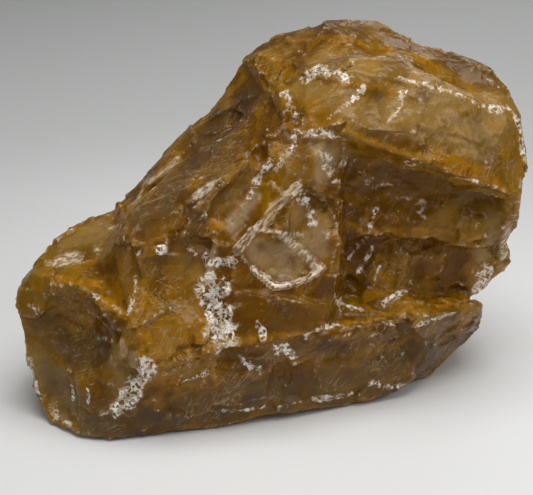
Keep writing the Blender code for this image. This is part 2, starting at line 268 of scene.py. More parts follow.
        Stroke("foot_pale", ((112, 350), (124, 372), (122, 396)), 3.4, 0.6, 0.0, 0.7),
        Stroke("slope_pale", ((196, 250), (190, 262), (200, 280)), 3.6, 0.4, 0.0, 0.6),
    ),
    Mark.MAUVE: (
        Stroke(
            "sill_mauve",
            ((200, 402), (260, 396), (320, 384), (380, 370), (440, 350), (470, 330)),
            8.0, 0.9, 0.0, 0.7,
        ),
        Stroke("sill_mauve_high", ((250, 360), (310, 352), (380, 340), (450, 326)), 5.0, 0.7, 0.0, 0.7),
        Stroke(
            "foot_edge",
            ((84, 428), (130, 434), (190, 422), (270, 410), (350, 394), (420, 376)),
            4.6, 0.9, 0.0, 0.7,
        ),
        Stroke("foot_mauve", ((100, 426), (150, 422), (200, 410)), 6.0, 1.0, 0.0, 0.7),
        Stroke("west_mauve", ((150, 214), (180, 178), (216, 138), (246, 104)), 9.0, 1.0, 0.0, 0.6),
        Stroke("nose_mauve", ((300, 150), (290, 172), (300, 188)), 5.0, 0.5, 0.0, 0.7),
        Stroke("slope_mauve", ((230, 150), (216, 176), (196, 212)), 5.0, 0.7, 0.0, 0.7),
        Stroke("end_mauve", ((46, 326), (66, 350), (100, 346)), 7.0, 0.9, 0.0, 0.7),
        Stroke("end_mauve_low", ((50, 372), (70, 400), (98, 414)), 6.0, 0.6, 0.0, 0.7),
        Stroke("crown_mauve", ((300, 36), (360, 28), (430, 48), (486, 78)), 7.0, 0.6, 0.0, 0.8),
    ),
    # Painted shade: upper_wall, under_brow, brow_shadow, deep_wall, end_hollow, west_shadow and
    # sill_under darken the recesses, the hollows and the faces under the brow where shade falls; the
    # other dark strokes are the stone's dark inside.
    Mark.DARK: (
        Stroke("deep_wall", ((344, 240), (390, 250), (430, 246), (470, 250)), 3.0, 0.8, 0.0, 0.5),
        Stroke("deep_column", ((352, 244), (356, 280)), 3.2, 0.7, 0.0, 0.4),
        Stroke("deep_column_mid", ((408, 240), (408, 286)), 2.0, 0.9, 0.0, 0.3),
        Stroke("deep_column_far", ((450, 246), (450, 288)), 2.6, 1.0, 0.0, 0.3),
        Stroke("upper_wall", ((350, 170), (380, 184), (420, 190)), 9.0, 0.8, 0.0, 0.5),
        Stroke("under_brow", ((456, 188), (476, 194), (504, 200)), 2.6, 1.0, 0.0, 0.4),
        Stroke("brow_shadow", ((372, 152), (410, 162), (448, 178)), 2.0, 0.7, 0.0, 0.4),
        Stroke("end_hollow", ((60, 296), (76, 306), (98, 300)), 4.6, 1.0, 0.0, 0.6),
        Stroke("band_dark", ((246, 304), (280, 322), (312, 322)), 4.0, 0.8, 0.0, 0.7),
        Stroke("slope_dark", ((180, 296), (196, 292), (204, 300)), 3.6, 0.7, 0.0, 0.7),
        Stroke("west_shadow", ((128, 232), (146, 222), (166, 216)), 3.4, 0.6, 0.0, 0.7),
        Stroke("sill_window", ((158, 376), (186, 372), (214, 372)), 4.0, 0.8, 0.0, 0.6),
        Stroke("sill_window_far", ((318, 368), (344, 362), (360, 358)), 4.0, 0.8, 0.0, 0.6),
        Stroke("chip_dark", ((312, 222), (322, 238), (322, 254)), 3.0, 0.7, 0.0, 0.5),
        Stroke("sill_under", ((160, 366), (200, 362), (240, 354), (300, 348)), 2.4, 0.6, 0.0, 0.7),
    ),
}


@dataclass(frozen=True)
class Drift:
    """A mark that a pattern spreads over the sides that the photograph hides.

    Args:
        mark: What it spreads.
        wave_mm: The length of the pattern's waves.
        seed: Picks one of many patterns.
        low: The pattern's value where the mark starts.
        high: The pattern's value where the mark is full.
        most: How strong the mark gets.
    """

    mark: Mark
    wave_mm: float
    seed: int
    low: float
    high: float
    most: float


LINE_STEP_PX = 4
HIDDEN_MARKS: tuple[Drift, ...] = (
    Drift(Mark.MAUVE, 34.0, 401, 0.0, 0.3, 0.9),
    Drift(Mark.PALE, 30.0, 411, 0.05, 0.35, 0.8),
    Drift(Mark.GOLD, 26.0, 421, 0.1, 0.4, 0.7),
    Drift(Mark.DARK, 24.0, 431, 0.2, 0.45, 0.7),
    Drift(Mark.STAIN, 20.0, 441, 0.28, 0.42, 0.9),
    Drift(Mark.FROST_AND_GLINT, 16.0, 451, 0.36, 0.56, 1.0),
    Drift(Mark.CLEAR, 18.0, 461, 0.45, 0.5, 0.8),
)


@dataclass(frozen=True)
class Fill:
    """A place where the solid's chips bite too deep, filled and evened out.

    Args:
        pixel: Where it is in the photograph's frame.
        radius_mm: The radius of the ball that fills it.
        sink_mm: How far the ball's middle lies behind the hole's floor.
        even_mm: How far round it the skin is evened out.
    """

    pixel: Pixel
    radius_mm: float
    sink_mm: float
    even_mm: float


FILLS: tuple[Fill, ...] = (
    Fill((152, 351), 6.0, 0.4, 7.5),
    Fill((306, 339), 3.0, 1.0, 5.0),
    Fill((243, 165), 2.6, 1.8, 7.0),
)


@dataclass(frozen=True)
class PhotoView:
    """The camera of the photograph, which the strokes are laid from.

    Args:
        rise_deg: How far the camera looks down.
        away_mm: Its distance from what it looks at.
        mm_per_px: Millimetres that one pixel spans at that distance.
        target_mm: What it looks at.
        width_px: The picture's width.
        height_px: The picture's height.
    """

    rise_deg: float = 24.0
    away_mm: float = 420.0
    mm_per_px: float = 0.2935
    target_mm: Triple = (-0.99, -6.72, 45.0)
    width_px: int = 533
    height_px: int = 495

    def eye(self) -> Vector:
        """Where the camera stands.

        Returns:
            The place in metres.
        """
        rise = math.radians(self.rise_deg)
        back = Vector((0.0, -math.cos(rise), math.sin(rise)))
        return (Vector(self.target_mm) + back * self.away_mm) * MM

    def focal_px(self) -> float:
        """The camera's focal length in pixels."""
        return self.away_mm / self.mm_per_px

    def ray(self, pixel: Pixel) -> Vector:
        """The direction from the camera through a pixel.

        Args:
            pixel: Right and down, from the picture's upper left corner.

        Returns:
            A unit vector.
        """
        right = (pixel[0] - self.width_px / 2) / self.focal_px()
        up = (self.height_px / 2 - pixel[1]) / self.focal_px()
        rise = math.radians(self.rise_deg)
        sine, cosine = math.sin(rise), math.cos(rise)
        return Vector((right, cosine + up * sine, up * cosine - sine)).normalized()

    def build(self) -> bpy.types.Object:
        """Adds the camera to the scene and makes it the one that renders.

        Returns:
            The camera.
        """
        data = bpy.data.cameras.new("photo_view")
        data.sensor_width = 36.0
        data.lens = data.sensor_width * self.focal_px() / self.width_px
        data.clip_start = 0.01
        camera = bpy.data.objects.new("photo_view", data)
        camera.location = self.eye()
        camera.rotation_euler = Euler((math.radians(90 - self.rise_deg), 0.0, 0.0))
        bpy.context.scene.collection.objects.link(camera)
        bpy.context.scene.camera = camera
        return camera


def lattice_hash(cells: np.ndarray, seed: int) -> np.ndarray:
    """A fixed pseudo-random number from 0 to 1 for each whole-number cell.

    Args:
        cells: Whole-number places, one row each.
        seed: Picks one of many patterns.

    Returns:
        One number for each row.
    """
    rows = cells.astype(np.int64)
    mixed = rows[..., 0] * 73856093 ^ rows[..., 1] * 19349663 ^ rows[..., 2] * 83492791
    mixed = (mixed + seed * 2654435761) & 0xFFFFFFFF
    for shift, factor in ((16, 0x45D9F3B), (15, 0x2C1B3C6D), (16, 0x297A2D39)):
        mixed = ((mixed ^ (mixed >> shift)) * factor) & 0xFFFFFFFF
    return mixed / float(0xFFFFFFFF)


def smooth_noise(points: np.ndarray, wave: float, seed: int) -> np.ndarray:
    """Soft noise from -1 to 1.

    Args:
        points: Places, one row each.
        wave: The length of its waves, in the unit of the places.
        seed: Picks one of many patterns.

    Returns:
        One number for each row.
    """
    scaled = points / wave
    base = np.floor(scaled)
    part = scaled - base
    ease = part * part * (3 - 2 * part)
    total = np.zeros(len(points))
    for corner in np.ndindex(2, 2, 2):
        weight = np.prod(np.where(corner, ease, 1 - ease), axis=1)
        total += weight * lattice_hash(base + corner, seed)
    return 2 * total - 1


def layered_noise(points: np.ndarray, wave: float, seed: int, layers: int = 3) -> np.ndarray:
    """Noise with finer waves added at half the height each.

    Args:
        points: Places, one row each.
        wave: The length of the largest waves.
        seed: Picks one of many patterns.
        layers: How many sizes of wave.

    Returns:
        One number for each row, about -1 to 1.
    """
    total = np.zeros(len(points))
    for layer in range(layers):
        total += smooth_noise(points, wave / 2**layer, seed + layer) / 2**layer
    return total / (2 - 2.0 ** (1 - layers))


@dataclass
class Cells:
    """Which of many scattered seeds each point is nearest to.

    For each point, away is the distance to the nearest seed in widths, own is that seed's own
    number from 0 to 1, and slant tilts the seed's cell.

    Args:
        points: Places, one row each.
        width: The usual distance between seeds.
        seed: Picks one of many patterns.
    """

    points: np.ndarray
    width: float
    seed: int
    away: np.ndarray = field(init=False)
    own: np.ndarray = field(init=False)
    slant: np.ndarray = field(init=False)

    def __post_init__(self) -> None:
        """Finds the nearest seed and its own number and tilt."""
        scaled = self.points / self.width
        base = np.floor(scaled)
        count = len(scaled)
        self.away = np.full(count, 9.0)
        nearest = np.zeros((count, 3))
        towards = np.zeros((count, 3))
        for offset in np.ndindex(3, 3, 3):
            place = base + np.array(offset) - 1
            jitter = np.stack([lattice_hash(place, self.seed + k) for k in range(3)], axis=1)
            line = place + jitter - scaled
            away = np.linalg.norm(line, axis=1)
            closer = away < self.away
            self.away = np.where(closer, away, self.away)
            nearest = np.where(closer[:, None], place, nearest)
            towards = np.where(closer[:, None], line, towards)
        self.own = lattice_hash(nearest, self.seed + 7)
        tilts = [lattice_hash(nearest, self.seed + k) - 0.5 for k in (11, 12, 13)]
        self.slant = (towards * np.stack(tilts, axis=1)).sum(axis=1)


def smooth_step(values: np.ndarray, low: float, high: float) -> np.ndarray:
    """0 at low and before, 1 at high and past it, and an eased slope between them."""
    part = np.clip((values - low) / (high - low), 0.0, 1.0)
    return part * part * (3 - 2 * part)


@dataclass(frozen=True)
class Scallops:
    """Little hollow, tilted faces of one size, side by side.

    Args:
        width_mm: The usual width of one.
        depth_mm: How deep it is.
        seed: Picks one of many patterns.
        share: How much it counts in the stone's tone.
    """

    width_mm: float
    depth_mm: float
    seed: int
    share: float


@dataclass(frozen=True)
class Cleavage:
    """Steps that follow one direction in which the stone splits.

    Args:
        bearing_deg: The compass direction that the steps look in.
        rise_deg: How far they look up.
        spacing_mm: The distance from step to step.
        tall_mm: The height of a step.
    """

    bearing_deg: float
    rise_deg: float
    spacing_mm: float
    tall_mm: float

    def across(self) -> np.ndarray:
        """The direction that the steps follow one another in.

        Returns:
            A unit vector.
        """
        bearing, rise = math.radians(self.bearing_deg), math.radians(self.rise_deg)
        level = math.cos(rise)
        return np.array((level * math.sin(bearing), -level * math.cos(bearing), math.sin(rise)))


@dataclass
class StoneSurface:
    """The lump's fine surface, and the marks on it.

    Args:
        cell_mm: The grid that the solid is remeshed on.
        scallops: The small faces, from the largest size to the smallest.
        cleavages: The directions of the cleavage steps.
        bend_wave_mm: The length of the waves that bend faces and steps.
        bend_mm: How far they bend them.
        grit_mm: Height of the finest roughness.
        foot_mm: Height under which the relief fades out, so that the foot stays flat.
        edge_lift_mm: How far the lower edge is lifted off the sheet at most.
        edge_inset_mm: How far in under the stone that lift reaches.
        edge_rise_mm: How far up its sides that lift reaches.
        even_rounds: How often the skin round a filled place is evened.
        spike_rounds: How often the copy is evened that slivers are measured from.
        spike_mm: How far from that copy the skin starts to be drawn in, and is there fully.
        edge_deg: Faces that meet at more than this angle keep a sharp edge.
    """

    cell_mm: float = 0.80
    scallops: tuple[Scallops, ...] = (
        Scallops(18.0, 1.4, 3, 0.45),
        Scallops(8.5, 0.5, 19, 0.33),
        Scallops(4.0, 0.14, 41, 0.22),
    )
    cleavages: tuple[Cleavage, ...] = (
        Cleavage(24.0, 38.0, 7.5, 0.5),
        Cleavage(-58.0, 12.0, 8.0, 0.5),
        Cleavage(96.0, 20.0, 7.0, 0.5),
    )
    bend_wave_mm: float = 14.0
    bend_mm: float = 1.6
    grit_mm: float = 0.07
    foot_mm: float = 3.0
    edge_lift_mm: float = 2.6
    edge_inset_mm: float = 8.0
    edge_rise_mm: float = 9.0
    even_rounds: int = 30
    spike_rounds: int = 16
    spike_mm: tuple[float, float] = (1.2, 2.0)
    edge_deg: float = 32.0
    piece: bpy.types.Object = field(init=False)
    points: np.ndarray = field(init=False)
    normals: np.ndarray = field(init=False)

    def build(self, node: bpy.types.Object, view: PhotoView) -> bpy.types.Object:
        """Makes the finished piece.

        Args:
            node: The solid from the frame, which stays as it is.
            view: The camera that the strokes are laid from.

        Returns:
            The piece, with its place in its mesh.
        """
        box = self.copy_of(node)
        middles = self.fill(view)
        self.remesh()
        self.read_mesh()
        for fill, middle in zip(FILLS, middles):
            self.even_out(middle, fill.even_mm)
        lines = self.lay_strokes(view)
        masks = self.paint(lines)
        self.carry_round(masks, view)
        patterns = self.patterns()
        patterns[TONE] = self.shape(lines, masks)
        self.trim_spikes()
        patterns[CREST], patterns[NOOK_SHADE] = self.bends()
        self.write_mesh(box)
        for mark in Mark:
            self.store(mark.value, masks[mark])
        for name, values in patterns.items():
            self.store(name, values)
        self.shade()
        return self.piece

    def copy_of(self, node: bpy.types.Object) -> tuple[np.ndarray, np.ndarray]:
        """Copies the solid and merges the copy's loose triangles.

        Args:
            node: The solid from the frame.

        Returns:
            The low and the high corner of the solid's box, in metres.
        """
        bpy.ops.object.select_all(action="DESELECT")
        piece = node.copy()
        piece.data = node.data.copy()
        piece.name = "calcite_lump"
        piece.data.name = "calcite_lump"
        bpy.context.scene.collection.objects.link(piece)
        piece.parent = None
        piece.data.transform(node.matrix_world)
        piece.matrix_world.identity()
        piece.data.materials.clear()
        piece.select_set(True)
        bpy.context.view_layer.objects.active = piece
        bpy.ops.object.mode_set(mode="EDIT")
        bpy.ops.mesh.select_all(action="SELECT")
        bpy.ops.mesh.remove_doubles(threshold=0.001 * MM)
        bpy.ops.object.mode_set(mode="OBJECT")
        self.piece = piece
        low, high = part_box(STONE_NODE)
        return np.array(low), np.array(high)

    def face_tree(self) -> BVHTree:
        """The piece's faces as a search tree.

        Returns:
            The tree, for finding where a ray meets them.
        """
        mesh = self.piece.data
        return BVHTree.FromPolygons(
            [vertex.co for vertex in mesh.vertices], [face.vertices[:] for face in mesh.polygons]
        )

    def fill(self, view: PhotoView) -> list[np.ndarray]:
        """Adds a ball in each hole that is to be filled; the remesh joins it to the stone.

        Args:
            view: The camera that the fills are placed from.

        Returns:
            The balls' middles in mm.
        """
        tree = self.face_tree()
        middles = []
        for fill in FILLS:
            ray = view.ray(fill.pixel)
            hit = tree.ray_cast(view.eye(), ray)[0]
            middles.append(np.array(hit + ray * fill.sink_mm * MM) / MM)
        bpy.ops.object.mode_set(mode="EDIT")
        for fill, middle in zip(FILLS, middles):
            bpy.ops.mesh.primitive_ico_sphere_add(
                subdivisions=3, radius=fill.radius_mm * MM, location=tuple(middle * MM)
            )
        bpy.ops.object.mode_set(mode="OBJECT")
        return middles

    def links(self) -> np.ndarray:
        """Finds which vertices an edge joins.

        Returns:
            Each edge's two vertices, one row for each edge.
        """
        edges = self.piece.data.edges
        ends = np.empty(len(edges) * 2, dtype=np.int64)
        edges.foreach_get("vertices", ends)
        return ends.reshape(-1, 2)

    @staticmethod
    def mean_round(values: np.ndarray, links: np.ndarray) -> np.ndarray:
        """The mean of each vertex's neighbours.

        Args:
            values: A row of numbers for each vertex.
            links: The edges that count, as pairs of vertices.

        Returns:
            The means, or nothing where a vertex has no neighbour in links.
        """
        one, other = np.concatenate([links, links[:, ::-1]]).T
        size = len(values)
        total = np.stack([np.bincount(one, column[other], size) for column in values.T], axis=1)
        return total / np.maximum(np.bincount(one, minlength=size), 1)[:, None]

    def even_out(self, middle: np.ndarray, reach_mm: float) -> None:
        """Draws the vertices near a place towards their neighbours.

        Args:
            middle: The place in mm.
            reach_mm: How far from it the skin is evened out.
        """
        away = np.linalg.norm(self.points - middle, axis=1)
        pull = 1 - smooth_step(away, 0.6 * reach_mm, reach_mm)
        links = self.links()
        links = links[(pull[links] > 0).any(axis=1)]
        for _ in range(self.even_rounds):
            step = self.mean_round(self.points, links) - self.points
            self.points += step * (0.6 * pull)[:, None]

    def bends(self) -> tuple[np.ndarray, np.ndarray]:
        """Finds the crests and the nooks of the finished skin; the material paints a highlight along
        the crests and shade into the nooks.

        Returns:
            How much of each there is at each vertex, from 0 to 1.
        """
        links = self.links()
        lean = self.points - self.mean_round(self.points, links)
        bulge = (lean * self.normals).sum(axis=1)[:, None]
        for _ in range(2):
            bulge = 0.5 * bulge + 0.5 * self.mean_round(bulge, links)
        bulge = bulge[:, 0]
        return smooth_step(bulge, 0.02, 0.10), smooth_step(-bulge, 0.015, 0.08)

    def remesh(self) -> None:
        """Gives the copy one even, closed skin."""
        modifier = self.piece.modifiers.new("even_skin", "REMESH")
        modifier.mode = "VOXEL"
        modifier.voxel_size = self.cell_mm * MM
        bpy.ops.object.modifier_apply(modifier=modifier.name)
        self.drop_crumbs()

    def drop_crumbs(self) -> None:
        """Deletes the loose crumbs that the remesh left, and keeps the stone."""
        mesh = self.piece.data
        top = max(range(len(mesh.vertices)), key=lambda index: mesh.vertices[index].co.z)
        bpy.ops.object.mode_set(mode="EDIT")
        bpy.ops.mesh.select_all(action="DESELECT")
        bpy.ops.object.mode_set(mode="OBJECT")
        mesh.vertices[top].select = True
        bpy.ops.object.mode_set(mode="EDIT")
        bpy.ops.mesh.select_linked()
        bpy.ops.mesh.select_all(action="INVERT")
        bpy.ops.mesh.delete(type="VERT")
        bpy.ops.object.mode_set(mode="OBJECT")

    def read_mesh(self) -> None:
        """Reads the vertices and their normals, in mm."""
        mesh = self.piece.data
        flat = np.empty(len(mesh.vertices) * 3)
        mesh.vertices.foreach_get("co", flat)
        self.points = flat.reshape(-1, 3) / MM
        mesh.vertex_normals.foreach_get("vector", flat)
        self.normals = flat.reshape(-1, 3).copy()

    @staticmethod
    def strokes() -> list[Stroke]:
        """Every stroke, whatever its mark."""
        return [stroke for strokes in STROKES.values() for stroke in strokes]

    def lay_strokes(self, view: PhotoView) -> dict[str, np.ndarray]:
        """Follows each stroke over the face that the camera sees.

        Args:
            view: The camera that the strokes are laid from.

        Returns:
            For each stroke's name, the points of its line in mm.
        """
        tree = self.face_tree()
        lines = {}
        for stroke in self.strokes():
            found = []
            for start, end in zip(stroke.path[:-1], stroke.path[1:]):
                pieces = max(2, round(math.dist(start, end) / LINE_STEP_PX))
                for step in range(pieces + 1):
                    part = step / pieces
                    pixel = tuple(a + (b - a) * part for a, b in zip(start, end))
                    hit = tree.ray_cast(view.eye(), view.ray(pixel))[0]
                    if hit is not None:
                        found.append(hit / MM)
            if found:
                lines[stroke.name] = np.array(found)
            else:
                LOG.warning("stroke %s misses the stone", stroke.name)
        return lines

    def distance_to(self, line: np.ndarray) -> np.ndarray:
        """Measures from each vertex to a line.

        Args:
            line: The line's points in mm.

        Returns:
            The distance in mm from each vertex to the nearest of them.
        """
        nearest = np.full(len(self.points), 1e9)
        for point in line:
            nearest = np.minimum(nearest, ((self.points - point) ** 2).sum(axis=1))
        return np.sqrt(nearest)

    def paint(self, lines: dict[str, np.ndarray]) -> dict[Mark, np.ndarray]:
        """Turns the strokes into one mask for each mark.

        Args:
            lines: For each stroke's name, the points of its line.

        Returns:
            For each mark, a number from 0 to 1 at each vertex.
        """
        masks = {mark: np.zeros(len(self.points)) for mark in Mark}
        ragged = layered_noise(self.points, 5.0, 61, 4)
        for mark, strokes in STROKES.items():
            for stroke in strokes:
                if stroke.name in lines:
                    away = self.distance_to(lines[stroke.name]) / stroke.width_mm
                    reach = 1 - smooth_step(away + ragged * stroke.rough, 0.35, 1.1)
                    np.maximum(masks[mark], reach * stroke.strength, out=masks[mark])
        return masks

    def carry_round(self, masks: dict[Mark, np.ndarray], view: PhotoView) -> None:
        """Gives the sides that the photograph hides the same kinds of marks.

        Args:
            masks: The marks so far, which are added to.
            view: The camera of the photograph.
        """
        towards = np.array(view.eye()) / MM - self.points
        towards /= np.linalg.norm(towards, axis=1)[:, None]
        hidden = 1 - smooth_step((towards * self.normals).sum(axis=1), -0.15, 0.15)
        for drift in HIDDEN_MARKS:
            pattern = layered_noise(self.points, drift.wave_mm, drift.seed, 4)
            spread = hidden * smooth_step(pattern, drift.low, drift.high) * drift.most
            np.maximum(masks[drift.mark], spread, out=masks[drift.mark])

    def patterns(self) -> dict[str, np.ndarray]:
        """Makes the slow changes of colour in the stone.

        Returns:
            For each pattern's name, a number from 0 to 1 at each vertex.
        """
        bend = np.stack([layered_noise(self.points, 9.0, seed, 2) for seed in (31, 32, 33)], axis=1)
        bent = self.points + 4.0 * bend
        return {
            CLOUD: 0.5 + 0.5 * layered_noise(bent, 9.0, 301, 4),
            BROAD: 0.5 + 0.5 * layered_noise(bent, 30.0, 311, 3),
        }

    def shape(self, lines: dict[str, np.ndarray], masks: dict[Mark, np.ndarray]) -> np.ndarray:
        """Works the small breaks into the skin.

        Args:
            lines: For each stroke's name, the points of its line.
            masks: The marks, which keep glassy places smooth and bruises rough.

        Returns:
            A tone for each little face, about 0 to 1 at each vertex.
        """
        points = self.points
        waves = [layered_noise(points, self.bend_wave_mm, seed, 2) for seed in (5, 6, 7)]
        bent = points + self.bend_mm * np.stack(waves, axis=1)
        calm = 1 - 0.85 * masks[Mark.CLEAR] - 0.55 * masks[Mark.PALE]
        busy = 0.45 + 0.55 * smooth_step(layered_noise(points, 22.0, 90, 2), -0.35, 0.45)
        height, tone = np.zeros((2, len(points)))
        for scallops in self.scallops:
            cells = Cells(bent * np.array((1.0, 1.0, 1.25)), scallops.width_mm, scallops.seed)
            hollow = (cells.away**2 - 0.35) * (0.3 + cells.own) + 1.6 * cells.slant
            height += scallops.depth_mm * hollow
            tone += scallops.share * cells.own
        for number, cleavage in enumerate(self.cleavages):
            drift = 0.8 * layered_noise(points, 16.0, 120 + number, 2)
            level = bent @ cleavage.across() / cleavage.spacing_mm + drift
            step = np.floor(level)
            where = smooth_step(layered_noise(points, 14.0, 150 + number, 2), 0.0, 0.35)
            height += cleavage.tall_mm * (level - step - 0.5) * where * busy
            tone += 0.16 * (lattice_hash(step[:, None].repeat(3, axis=1), number) - 0.5) * where
        height += self.grit_mm * layered_noise(bent, 1.9, 200, 2) * (0.4 + 1.6 * masks[Mark.FROST_AND_GLINT])
        height *= np.maximum(calm, 0.1)
        for stroke in self.strokes():
            if stroke.lift_mm and stroke.name in lines:
                away = self.distance_to(lines[stroke.name]) / stroke.width_mm
                height += stroke.lift_mm * (1 - smooth_step(away, 0.2, 1.2))
        fade = smooth_step(points[:, 2], 0.0, self.foot_mm)
        self.points = points + self.normals * (height * fade)[:, None]
        self.lift_edge()
        return tone

    def lift_edge(self) -> None:
        """Lifts the stone's lower edge off the sheet, more in some places than in others."""
        points = self.points
        under = (self.normals[:, 2] < -0.7) & (points[:, 2] < 0.3)
        side = np.flatnonzero(~under & (points[:, 2] < 1.5))
        tree = KDTree(len(side))
        for index in side:
            tree.insert(points[index], int(index))
        tree.balance()
        inset = np.zeros(len(points))
        for index in np.flatnonzero(under):
            inset[index] = tree.find(points[index])[2]
        most = self.edge_lift_mm * (0.2 + 0.8 * smooth_step(smooth_noise(points, 15.0, 71), -0.6, 0.6))
        left_end, back = smooth_step(points[:, 0], -70.0, -35.0), smooth_step(points[:, 1], 26.0, 0.0)
        most *= (0.3 + 0.7 * left_end) * back
        most += 0.5 * smooth_noise(points, 3.2, 73) * (most > 0)
        near = 1 - smooth_step(inset, 0.0, self.edge_inset_mm)
        low = np.clip(1 - points[:, 2] / self.edge_rise_mm, 0.0, 1.0)
        self.points[:, 2] += np.maximum(most, 0.0) * near * low

    def trim_spikes(self) -> None:
        """Draws thin slivers back into the stone, where its skin stands far from an evened copy."""
        links = self.links()
        even = self.points
        for _ in range(self.spike_rounds):
            even = 0.4 * even + 0.6 * self.mean_round(even, links)
        away = np.linalg.norm(self.points - even, axis=1)
        part = smooth_step(away, *self.spike_mm)[:, None]
        LOG.info("slivers drawn in: %d vertices", np.count_nonzero(part))
        self.points = self.points + part * (even - self.points)

    def write_mesh(self, box: tuple[np.ndarray, np.ndarray]) -> None:
        """Writes the vertices back, kept inside the solid's box.

        Args:
            box: The box's low and high corner, in metres.
        """
        mesh = self.piece.data
        inside = np.clip(self.points * MM, box[0], box[1])
        mesh.vertices.foreach_set("co", inside.ravel())
        mesh.update()

    def store(self, name: str, values: np.ndarray) -> None:
        """Keeps one number for each vertex under a name that the material reads."""
        attribute = self.piece.data.attributes.new(name, "FLOAT", "POINT")
        attribute.data.foreach_set("value", values.astype(np.float32))

    def shade(self) -> None:
        """Smooths the faces and keeps the breaks between them crisp."""
        bpy.ops.object.select_all(action="DESELECT")
        self.piece.select_set(True)
        bpy.context.view_layer.objects.active = self.piece
        bpy.ops.object.shade_smooth_by_angle(angle=math.radians(self.edge_deg))


Value = Union["Sock", float]


class Sock:
    """A number's socket in a material, with Python's operators on it."""

    def __init__(self, graph: "Graph", socket: bpy.types.NodeSocket) -> None:
        """Wraps an output socket of one of the graph's nodes."""
        self.graph = graph
        self.socket = socket

    def _math(self, operation: str, *values: Value) -> "Sock":
        """Adds a Math node and gives its result."""
        return self.graph.node("ShaderNodeMath", {"operation": operation}, dict(enumerate(values)))

    def __add__(self, other: Value) -> "Sock":
        """The sum."""
        return self._math("ADD", self, other)

    __radd__ = __add__

    def __sub__(self, other: Value) -> "Sock":
        """The difference."""
        return self._math("SUBTRACT", self, other)

    def __rsub__(self, other: Value) -> "Sock":
        """The difference, the other way round."""
        return self._math("SUBTRACT", other, self)

    def __mul__(self, other: Value) -> "Sock":
        """The product."""
        return self._math("MULTIPLY", self, other)

    __rmul__ = __mul__

    def __abs__(self) -> "Sock":
        """The size without the sign."""
        return self._math("ABSOLUTE", self)

    def top(self, other: Value) -> "Sock":
        """The larger of the two."""
        return self._math("MAXIMUM", self, other)

    def low(self, other: Value) -> "Sock":
        """The smaller of the two."""
        return self._math("MINIMUM", self, other)

    def ease(self, start: float, end: float) -> "Sock":
        """Eases from 0 to 1.

        Args:
            start: Where the result is still 0.
            end: Where it is 1. It may be less than start.

        Returns:
            The eased number.
        """
        flip = end < start
        low, high = (end, start) if flip else (start, end)
        made = self.graph.node(
            "ShaderNodeMapRange",
            {"interpolation_type": "SMOOTHSTEP"},
            {"Value": self, "From Min": low, "From Max": high},
        )
        return 1.0 - made if flip else made


class Graph:
    """Builds a material's nodes."""

    def __init__(self, name: str) -> None:
        """Starts a material without any nodes.

        Args:
            name: The material's name.
        """
        self.material = bpy.data.materials.new(name)
        self.material.use_nodes = True
        self.tree = self.material.node_tree
        self.tree.nodes.clear()

    def node(
        self,
        kind: str,
        settings: Union[dict[str, Any], None] = None,
        sockets: Union[dict[Union[str, int], Any], None] = None,
        output: Union[str, int] = 0,
    ) -> Sock:
        """Adds a node.

        Args:
            kind: The node's type.
            settings: Its own settings, set first.
            sockets: The values or links of its inputs.
            output: The output that is wanted.

        Returns:
            That output.
        """
        made = self.tree.nodes.new(kind)
        for name, value in (settings or {}).items():
            setattr(made, name, value)
        for name, value in (sockets or {}).items():
            if isinstance(value, Sock):
                self.tree.links.new(value.socket, made.inputs[name])
            else:
                made.inputs[name].default_value = value
        return Sock(self, made.outputs[output])

    def place(self, turn: Triple = (0.0, 0.0, 0.0), stretch: Triple = (1.0, 1.0, 1.0)) -> Sock:
        """The stone's own coordinates, turned and then stretched.

        Args:
            turn: The turn about each axis in degrees.
            stretch: What each axis is then multiplied by.

        Returns:
            The coordinates.
        """
        plain = self.node("ShaderNodeTexCoord", output="Object")
        angles = tuple(math.radians(angle) for angle in turn)
        turned = self.node("ShaderNodeMapping", None, {"Vector": plain, "Rotation": angles})
        return self.node("ShaderNodeVectorMath", {"operation": "MULTIPLY"}, {0: turned, 1: stretch})

    def noise(self, wave_mm: float, place: Sock, detail: float = 3.0, warp: float = 0.0) -> Sock:
        """Adds soft noise.

        Args:
            wave_mm: The length of its waves.
            place: The coordinates that it is made from.
            detail: How many finer layers it has.
            warp: How much it is bent by itself.

        Returns:
            A number from 0 to 1.
        """
        return self.node(
            "ShaderNodeTexNoise",
            None,
            {"Vector": place, "Scale": 1 / (wave_mm * MM), "Detail": detail, "Distortion": warp},
        )

    def shards(self, width_mm: float, output: str = "Color", feature: str = "F1") -> Sock:
        """Adds angular cells.

        Args:
            width_mm: The usual width of a cell.
            output: "Color" for a number for each cell, "Distance" for the distance.
            feature: "F1" for the cell's middle, "DISTANCE_TO_EDGE" for its edge.

        Returns:
            That output.
        """
        sockets = {"Vector": self.place(), "Scale": 1 / (width_mm * MM)}
        return self.node("ShaderNodeTexVoronoi", {"feature": feature}, sockets, output)

    def named(self, name: str) -> Sock:
        """The numbers that the mesh keeps under this name."""
        return self.node("ShaderNodeAttribute", {"attribute_name": name}, output="Fac")

    def close(self, shader: Sock, volume: Union[Sock, None] = None) -> None:
        """Links the shaders to the material's output.

        Args:
            shader: The skin's shader.
            volume: The inside's shader, if it has one.
        """
        output = self.tree.nodes.new("ShaderNodeOutputMaterial")
        self.tree.links.new(shader.socket, output.inputs["Surface"])
        if volume is not None:
            self.tree.links.new(volume.socket, output.inputs["Volume"])

    def mix(self, amount: Value, first: Any, second: Any) -> Sock:
        """A colour between two."""
        sockets = {0: amount, 6: first, 7: second}
        return self.node("ShaderNodeMix", {"data_type": "RGBA"}, sockets, output=2)


Colour = tuple[float, float, float, float]


